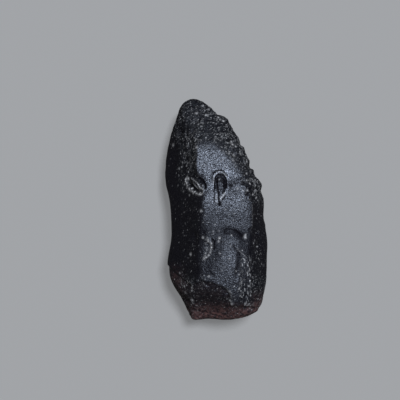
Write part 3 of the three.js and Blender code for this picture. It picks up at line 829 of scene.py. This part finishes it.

# Pale spots with a place of their own, partly bruises and partly painted highlights, in rows like those of
# the beads.
SPOTS = [
    [190.8, 254.2, 1.4, 0.9], [173, 145, 1.6, 0.5], [201, 211, 1.3, 0.5], [180, 273, 1.0, 0.4],
    [244.9, 236.4, 1.2, 0.9], [245.4, 237.8, 1.0, 1.0], [245.4, 234.4, 0.8, 0.5],
    [231.5, 235.4, 0.8, 0.7], [230.3, 246, 0.7, 0.5], [229.5, 258.5, 0.7, 0.7],
    [243.4, 258.7, 0.6, 0.9], [244.5, 262.5, 0.6, 0.8], [242.3, 250.4, 0.6, 0.6],
    [231.2, 141.8, 1.2, 0.8], [232.4, 144.4, 1.3, 1.0], [235.8, 146.5, 1.0, 0.7],
    [229.2, 151.8, 0.8, 0.6], [229.1, 153.6, 0.8, 0.7], [240.3, 153.9, 1.2, 0.9],
    [240.1, 151.6, 0.9, 0.7], [234, 155, 1.4, 0.45], [233.3, 160.5, 0.9, 0.6],
    [246.2, 160.2, 0.7, 0.7], [246.3, 162.2, 0.8, 0.8], [247, 173.3, 0.9, 0.8],
    [197, 147.5, 1.1, 0.8], [179, 168.5, 1.0, 0.7], [203, 105.5, 1.0, 0.6],
    [196.5, 113, 1.4, 0.5], [206, 115, 1.2, 0.6], [218.2, 117, 1.1, 0.8], [220.5, 119, 0.9, 0.8],
    [223.3, 121, 1.2, 0.9], [208.3, 109.3, 1.1, 0.6], [198.3, 124.2, 0.8, 0.7],
    [201.6, 126.4, 0.7, 0.7], [215.6, 136.5, 0.8, 0.6], [221.7, 136.5, 0.8, 0.6],
    [250, 183.5, 1.1, 1.0], [246.8, 180.3, 0.9, 0.5], [256, 181, 1.0, 0.7],
    [257.3, 182.4, 0.9, 0.8], [258.3, 187, 0.9, 0.7], [256.3, 190.3, 0.9, 0.9],
    [253.5, 194.5, 1.0, 0.9], [256.3, 197.6, 1.0, 0.9], [247.3, 190.5, 0.9, 0.7],
    [243.3, 190.5, 0.9, 0.7], [237.5, 188.3, 0.9, 0.7], [249.5, 199.3, 0.8, 0.6],
    [187.3, 281.9, 1.3, 1.0], [183.2, 286.5, 1.0, 0.8], [191.2, 285.6, 0.8, 0.9],
    [190.9, 288.4, 0.8, 1.1], [190.9, 291, 0.8, 0.9], [191.5, 301.6, 1.7, 0.6],
    [191.8, 304.6, 1.1, 0.4], [184.6, 293.6, 1.5, 0.3],
    [229.8, 301.5, 1.0, 0.9], [231.5, 303.7, 1.0, 0.9], [231.8, 306.2, 0.8, 0.6],
    [229.4, 291.6, 1.1, 0.45], [235.5, 307.6, 0.9, 0.9], [245.5, 303.6, 1.0, 0.7],
    [247.3, 305.6, 1.0, 0.6], [249, 304, 0.9, 0.5], [241, 291, 0.6, 0.5], [241.8, 297, 0.6, 0.5],
    [208.7, 276.4, 0.9, 0.8], [249.8, 280.6, 0.7, 1.1], [250.8, 282.8, 0.6, 0.8],
    [249, 286, 0.6, 0.7], [251, 291, 0.6, 0.6], [250.7, 295.5, 0.7, 1.1], [257, 246.6, 0.8, 0.8],
    [253.6, 243.2, 0.8, 0.5], [255.7, 252.6, 0.7, 0.5], [256.4, 258, 0.7, 0.4],
    [261.8, 264, 0.8, 0.5], [256.2, 262.3, 0.7, 0.35], [254.5, 240.5, 0.9, 0.35],
]
spots(SPOTS, size=0.9, strength=0.85)

# The glass is a little brown at the broken end: partly its own brown, and partly a painted warm reflection
# on the lower rim and sides.
edge_brown_and_reflection = np.clip(
    upper * smoothstep(300, 320, V)
    + 0.28 * upper * smoothstep(258, 285, V) * (1 - smoothstep(172, 192, U))
    + 0.45 * upper * smoothstep(286, 304, V) * smoothstep(249, 258, U)
    + 0.08 * in_scar,
    0,
    1,
)

# Nothing is proud of the solid's own box.
low, high = (np.array(corner) / MM for corner in cad_box)
co = np.clip(co, low, high)

# ---- The finished piece -----------------------------------------------------------------------------
place_points(mesh, co)
mesh.polygons.foreach_set("use_smooth", np.ones(len(mesh.polygons), bool))


def attribute(name, values):
    """Gives the material a value at each vertex."""
    layer = mesh.attributes.new(name, "FLOAT", "POINT")
    layer.data.foreach_set("value", values.astype(np.float32))


attribute("pale_wear_and_highlight", pale_wear_and_highlight)
attribute("frost", frost)
attribute("etched", rough_skin)
attribute("gloss", gloss)
attribute("painted_hollow_shade", painted_hollow_shade)
attribute("edge_brown_and_reflection", edge_brown_and_reflection)

stone = bpy.data.objects.new("stone", mesh)
bpy.context.scene.collection.objects.link(stone)
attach(stone, "root")
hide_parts("tektite")

BLACK = (0.0052, 0.0043, 0.0054, 1)
ETCHED = (0.0125, 0.0125, 0.012, 1)
# Pale colour of bruised glass, which also paints highlights and glints.
PALE_BRUISE_AND_HIGHLIGHT = (0.60, 0.55, 0.48, 1)
BROWN = (0.108, 0.051, 0.041, 1)

# The fine textures, by how many of their cells or bumps go into a metre.
MOTTLE = 1100
SPARKLE = 1500
GRAIN = 3200
PINPRICKS = 3000
ROUGHENING = 3900
BUMP_HEIGHT = 0.09 * MM


def glass_material():
    """Satin black glass, etched grey, pale with bruises and painted highlights, brown partly as a painted
    reflection, with painted shade in its hollows, where the stone's values say so.
    """
    material = bpy.data.materials.new("black_glass")
    material.use_nodes = True
    tree = material.node_tree
    link = tree.links.new
    shader = tree.nodes["Principled BSDF"]
    shader.inputs["IOR"].default_value = 1.5

    def share(name):
        made = tree.nodes.new("ShaderNodeAttribute")
        made.attribute_name = name
        return made.outputs["Fac"]

    def blend(factor, a, b):
        made = tree.nodes.new("ShaderNodeMix")
        made.data_type = "RGBA"
        link(factor, made.inputs["Factor"])
        for socket, value in (("A", a), ("B", b)):
            if isinstance(value, tuple):
                made.inputs[socket].default_value = value
            else:
                link(value, made.inputs[socket])
        return made.outputs["Result"]

    def spread(value, from_low, from_high, to_low, to_high):
        made = tree.nodes.new("ShaderNodeMapRange")
        link(value, made.inputs["Value"])
        for name, number in (
            ("From Min", from_low),
            ("From Max", from_high),
            ("To Min", to_low),
            ("To Max", to_high),
        ):
            made.inputs[name].default_value = number
        return made.outputs["Result"]

    def maths(operation, a, b):
        made = tree.nodes.new("ShaderNodeMath")
        made.operation = operation
        for socket, value in zip(made.inputs, (a, b)):
            if isinstance(value, (int, float)):
                socket.default_value = value
            else:
                link(value, socket)
        return made.outputs["Value"]

    def product(a, b):
        return maths("MULTIPLY", a, b)

    place = tree.nodes.new("ShaderNodeTexCoord").outputs["Object"]

    def fine(kind, scale, **settings):
        made = tree.nodes.new(kind)
        link(place, made.inputs["Vector"])
        made.inputs["Scale"].default_value = scale
        for name, value in settings.items():
            made.inputs[name].default_value = value
        return made.outputs[0]

    mottle = fine("ShaderNodeTexNoise", MOTTLE, Detail=3)
    etched = product(share("etched"), spread(mottle, 0.38, 0.62, 0.1, 1.2))
    colour = blend(etched, BLACK, ETCHED)
    # Brown at the broken end: partly the glass's own, partly a painted warm reflection.
    colour = blend(product(share("edge_brown_and_reflection"), spread(mottle, 0.38, 0.62, 0.2, 1.1)), colour, BROWN)
    # Painted shade: hollows are darkened towards black.
    colour = blend(product(share("painted_hollow_shade"), 0.6), colour, BLACK)
    # Painted glints: pale specks strewn over the etched glass.
    sparkle = spread(fine("ShaderNodeTexVoronoi", SPARKLE), 0.12, 0.26, 0.4, 0)
    colour = blend(product(share("etched"), sparkle), colour, PALE_BRUISE_AND_HIGHLIGHT)
    grain = fine("ShaderNodeTexNoise", GRAIN, Detail=1)
    # Pale where bruised, and painted highlights on lips, rims, crests and spots.
    colour = blend(product(share("pale_wear_and_highlight"), spread(grain, 0.38, 0.60, 0.5, 1.4)), colour, PALE_BRUISE_AND_HIGHLIGHT)
    link(colour, shader.inputs["Base Color"])
    link(spread(share("frost"), 0.2, 0.9, 0.38, 0.62), shader.inputs["Roughness"])
    gloss_level = product(share("gloss"), spread(grain, 0.36, 0.62, 0.25, 1.7))
    link(gloss_level, shader.inputs["Specular IOR Level"])

    bump = tree.nodes.new("ShaderNodeBump")
    bump.inputs["Strength"].default_value = 1
    bump.inputs["Distance"].default_value = BUMP_HEIGHT
    pinpricks = fine("ShaderNodeTexVoronoi", PINPRICKS)
    roughening = fine("ShaderNodeTexNoise", ROUGHENING, Detail=2)
    height = product(maths("ADD", pinpricks, roughening), spread(share("frost"), 0.05, 0.25, 0.06, 1))
    link(height, bump.inputs["Height"])
    link(bump.outputs["Normal"], shader.inputs["Normal"])
    return material


stone.data.materials.clear()
stone.data.materials.append(glass_material())

# ---- Floor and light --------------------------------------------------------------------------------
FLOOR_SIZE = 6
FLOOR_COLOUR = (0.172, 0.153, 0.126, 1)
FLOOR_GLOW = (0.178, 0.183, 0.19, 1)  # the floor gives off a little light, which keeps shadows pale

bpy.ops.mesh.primitive_plane_add(size=FLOOR_SIZE)
floor = bpy.context.object
floor.name = "floor"
paper = bpy.data.materials.new("floor_paper")
paper.use_nodes = True
sheet = paper.node_tree.nodes["Principled BSDF"].inputs
sheet["Base Color"].default_value = FLOOR_COLOUR
sheet["Emission Color"].default_value = FLOOR_GLOW
sheet["Emission Strength"].default_value = 1
sheet["Roughness"].default_value = 0.9
floor.data.materials.append(paper)
floor.visible_glossy = False  # the stone's gloss mirrors the lights alone

KEY_TILT = 16  # degrees from straight above, towards the tip
KEY_LEAN = 12  # and towards the right
KEY_WIDTH = 14  # degrees that the light spans, as seen from the stone
KEY_STRENGTH = 3.8
KEY_COLOUR = (0.82, 0.95, 1.2)
SKY_COLOUR = (0.055, 0.055, 0.06, 1)

key = bpy.data.objects.new("key", bpy.data.lights.new("key", "SUN"))
key.data.energy = KEY_STRENGTH
key.data.color = KEY_COLOUR
key.data.angle = math.radians(KEY_WIDTH)
key.rotation_euler = (math.radians(-KEY_TILT), math.radians(KEY_LEAN), 0)
bpy.context.scene.collection.objects.link(key)

world = bpy.data.worlds.new("studio")
world.use_nodes = True
world.node_tree.nodes["Background"].inputs["Color"].default_value = SKY_COLOUR
bpy.context.scene.world = world
bpy.context.scene.view_settings.view_transform = "Standard"
